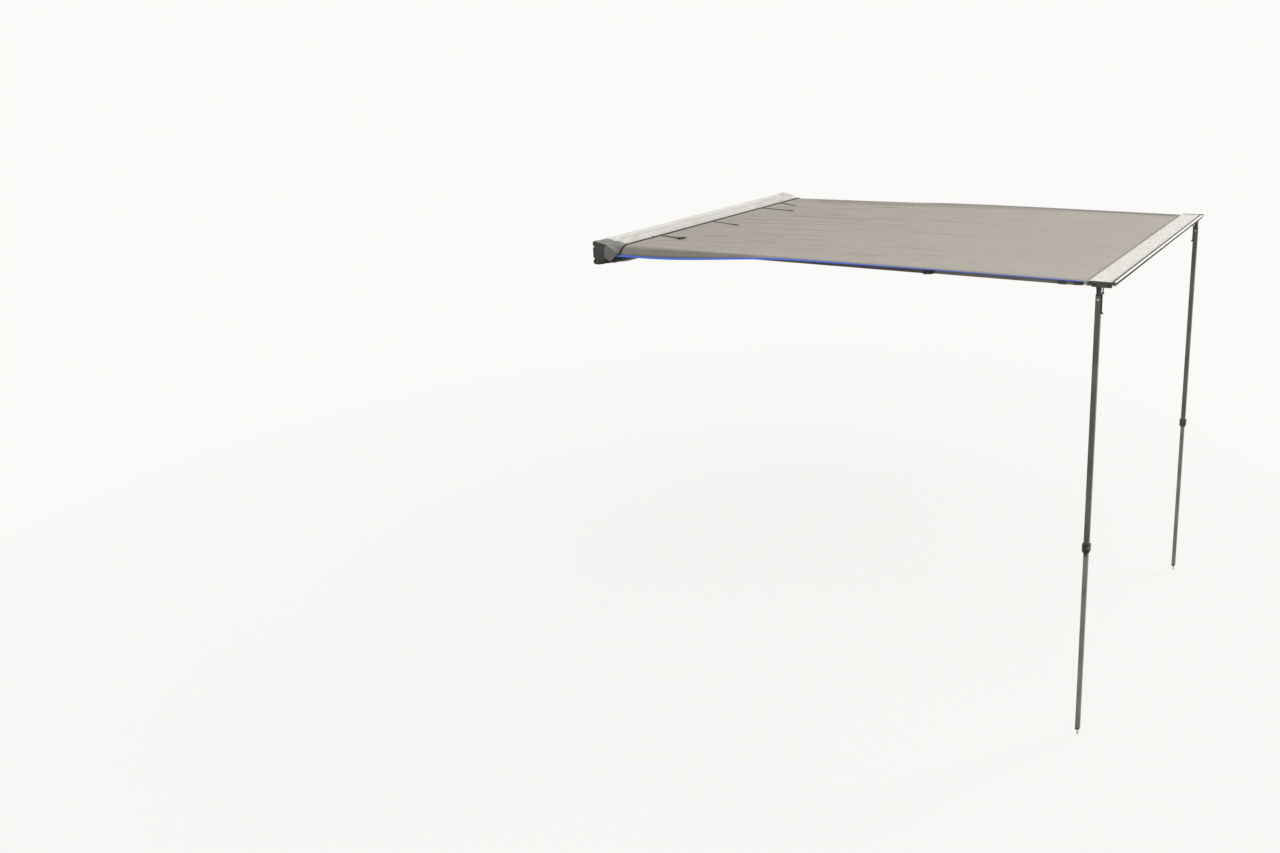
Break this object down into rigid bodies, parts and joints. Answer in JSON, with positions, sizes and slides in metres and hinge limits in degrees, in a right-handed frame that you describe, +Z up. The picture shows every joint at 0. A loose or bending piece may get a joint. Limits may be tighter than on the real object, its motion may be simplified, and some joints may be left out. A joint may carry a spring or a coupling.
{
  "type": "vehicle side awning",
  "caption": "Pull-out side awning: wall plate with zip bag, cloth canopy, silver lead rail, telescopic arms that hook to it and telescopic legs that fold into it.",
  "frame": {"origin": "middle of the back plate's rear face, between its two T-slots", "axes": "+X along the vehicle, the awning opens towards -Y, +Y points into what carries it, +Z up"},
  "size_m": [2, 2.502, 2.0085],
  "materials": {
    "silver_aluminium": "fine satin anodised, extruded with lengthwise ribs",
    "zinc_steel": "bright zinc plate, slightly worn",
    "charcoal_tube": "dark grey anodised tube, satin",
    "charcoal_plastic": "glass-filled nylon, fine moulded grain",
    "black_plastic": "moulded, semi-matt",
    "black_rubber": "matt moulded rubber",
    "canopy_fabric": "coated polyester cloth, warm taupe grey",
    "bag_fabric": "coated cloth, pale grey, lightly creased",
    "dark_fabric": "coated cloth, dark grey",
    "blue_tape": "woven royal blue edge tape",
    "webbing": "narrow black polypropylene webbing"
  },
  "bodies": {
    "awning_back": {"back_plate": "silver_aluminium", "plate_end_cap_left": "black_plastic", "plate_end_cap_right": "black_plastic", "arm_bracket_left": "charcoal_plastic", "arm_bracket_right": "charcoal_plastic", "arm_pivot_pin_left": "zinc_steel", "arm_pivot_pin_right": "zinc_steel", "bag_top_flap": "bag_fabric", "bag_zip": "black_plastic", "bag_lower_pocket": "dark_fabric", "bag_corner_fold_left": "bag_fabric", "bag_corner_fold_right": "bag_fabric", "bag_end_gusset_left": "dark_fabric", "bag_end_gusset_right": "dark_fabric", "tie_strap_a": "webbing", "tie_strap_b": "webbing", "tie_strap_c": "webbing", "tie_strap_d": "webbing", "canopy": "canopy_fabric", "canopy_binding_left": "blue_tape", "canopy_binding_right": "blue_tape"},
    "lead_rail_unit": {"lead_rail": "silver_aluminium", "rail_end_cap_left": "charcoal_plastic", "rail_end_cap_right": "charcoal_plastic", "hook_peg_left": "zinc_steel", "hook_peg_right": "zinc_steel", "leg_lug_left": "charcoal_plastic", "leg_lug_right": "charcoal_plastic", "leg_pivot_pin_left": "zinc_steel", "leg_pivot_pin_right": "zinc_steel", "leg_keeper_strap_left": "black_rubber", "leg_keeper_strap_right": "black_rubber"},
    "arm_left": {"arm_knuckle_left": "charcoal_plastic", "arm_outer_tube_left": "charcoal_tube", "arm_clamp_collar_left": "charcoal_plastic"},
    "arm_left_inner": {"arm_inner_tube_left": "charcoal_tube", "arm_stop_left": "charcoal_plastic", "arm_fork_left": "charcoal_plastic"},
    "arm_left_hook": {"arm_hook_left": "zinc_steel"},
    "arm_left_lever": {"arm_clamp_lever_left": "charcoal_plastic"},
    "leg_left": {"leg_fork_head_left": "charcoal_plastic", "leg_outer_tube_left": "charcoal_tube", "leg_clamp_collar_left": "charcoal_plastic"},
    "leg_left_inner": {"leg_inner_tube_left": "charcoal_tube", "leg_foot_left": "charcoal_plastic"},
    "leg_left_lever": {"leg_clamp_lever_left": "charcoal_plastic"},
    "arm_right": {"arm_knuckle_right": "charcoal_plastic", "arm_outer_tube_right": "charcoal_tube", "arm_clamp_collar_right": "charcoal_plastic"},
    "arm_right_inner": {"arm_inner_tube_right": "charcoal_tube", "arm_stop_right": "charcoal_plastic", "arm_fork_right": "charcoal_plastic"},
    "arm_right_hook": {"arm_hook_right": "zinc_steel"},
    "arm_right_lever": {"arm_clamp_lever_right": "charcoal_plastic"},
    "leg_right": {"leg_fork_head_right": "charcoal_plastic", "leg_outer_tube_right": "charcoal_tube", "leg_clamp_collar_right": "charcoal_plastic"},
    "leg_right_inner": {"leg_inner_tube_right": "charcoal_tube", "leg_foot_right": "charcoal_plastic"},
    "leg_right_lever": {"leg_clamp_lever_right": "charcoal_plastic"}
  },
  "joints": [
    {"name": "canopy_retract", "type": "slide", "parent": "awning_back", "child": "lead_rail_unit", "axis": [0, 1, 0], "range_m": [0, 0.53], "deforming": ["canopy", "canopy_binding_left", "canopy_binding_right"]},
    {"name": "arm_swing_left", "type": "hinge", "parent": "awning_back", "child": "arm_left", "pos_m": [-0.88, -0.045, 0.02], "axis": [0, 0.0069, 1], "range_deg": [0, 92], "deforming": ["bag_end_gusset_right", "bag_corner_fold_right"]},
    {"name": "arm_slide_left", "type": "slide", "parent": "arm_left", "child": "arm_left_inner", "axis": [0.0379, 0.9993, -0.0069], "range_m": [0, 0.531]},
    {"name": "arm_hook_tilt_left", "type": "hinge", "parent": "arm_left_inner", "child": "arm_left_hook", "pos_m": [-0.968, -2.366, 0.036], "axis": [0.9993, -0.0379, 0.0003], "range_deg": [0, 70]},
    {"name": "arm_lever_left", "type": "hinge", "parent": "arm_left", "child": "arm_left_lever", "pos_m": [-0.96043, -1.70172, 0.03142], "axis": [0, -0.0069, -1], "range_deg": [0, 110]},
    {"name": "leg_fold_left", "type": "hinge", "parent": "lead_rail_unit", "child": "leg_left", "pos_m": [-0.955, -2.43, 0.028], "axis": [0, -1, 0], "range_deg": [0, 89]},
    {"name": "leg_telescope_left", "type": "slide", "parent": "leg_left", "child": "leg_left_inner", "axis": [0, 0, 1], "range_m": [0, 0.78]},
    {"name": "leg_lever_left", "type": "hinge", "parent": "leg_left", "child": "leg_left_lever", "pos_m": [-0.9736, -2.43, -1.0765], "axis": [0, 1, 0], "range_deg": [0, 110]},
    {"name": "arm_swing_right", "type": "hinge", "parent": "awning_back", "child": "arm_right", "pos_m": [0.88, -0.045, -0.01], "axis": [0, -0.0069, -1], "range_deg": [0, 92], "deforming": ["bag_end_gusset_left", "bag_corner_fold_left"]},
    {"name": "arm_slide_right", "type": "slide", "parent": "arm_right", "child": "arm_right_inner", "axis": [-0.0379, 0.9993, -0.0069], "range_m": [0, 0.531]},
    {"name": "arm_hook_tilt_right", "type": "hinge", "parent": "arm_right_inner", "child": "arm_right_hook", "pos_m": [0.968, -2.366, 0.006], "axis": [0.9993, 0.0379, -0.0003], "range_deg": [0, 70]},
    {"name": "arm_lever_right", "type": "hinge", "parent": "arm_right", "child": "arm_right_lever", "pos_m": [0.96043, -1.70172, 0.00142], "axis": [0, 0.0069, 1], "range_deg": [0, 110]},
    {"name": "leg_fold_right", "type": "hinge", "parent": "lead_rail_unit", "child": "leg_right", "pos_m": [0.955, -2.4745, 0.028], "axis": [0, 1, 0], "range_deg": [0, 89]},
    {"name": "leg_telescope_right", "type": "slide", "parent": "leg_right", "child": "leg_right_inner", "axis": [0, 0, 1], "range_m": [0, 0.78]},
    {"name": "leg_lever_right", "type": "hinge", "parent": "leg_right", "child": "leg_right_lever", "pos_m": [0.9736, -2.4745, -1.0765], "axis": [0, -1, 0], "range_deg": [0, 110]}
  ],
  "couplings": [
    {"joint": "arm_slide_left", "follows": "canopy_retract", "ratio": 1.0007},
    {"joint": "arm_slide_right", "follows": "canopy_retract", "ratio": 1.0007}
  ]
}
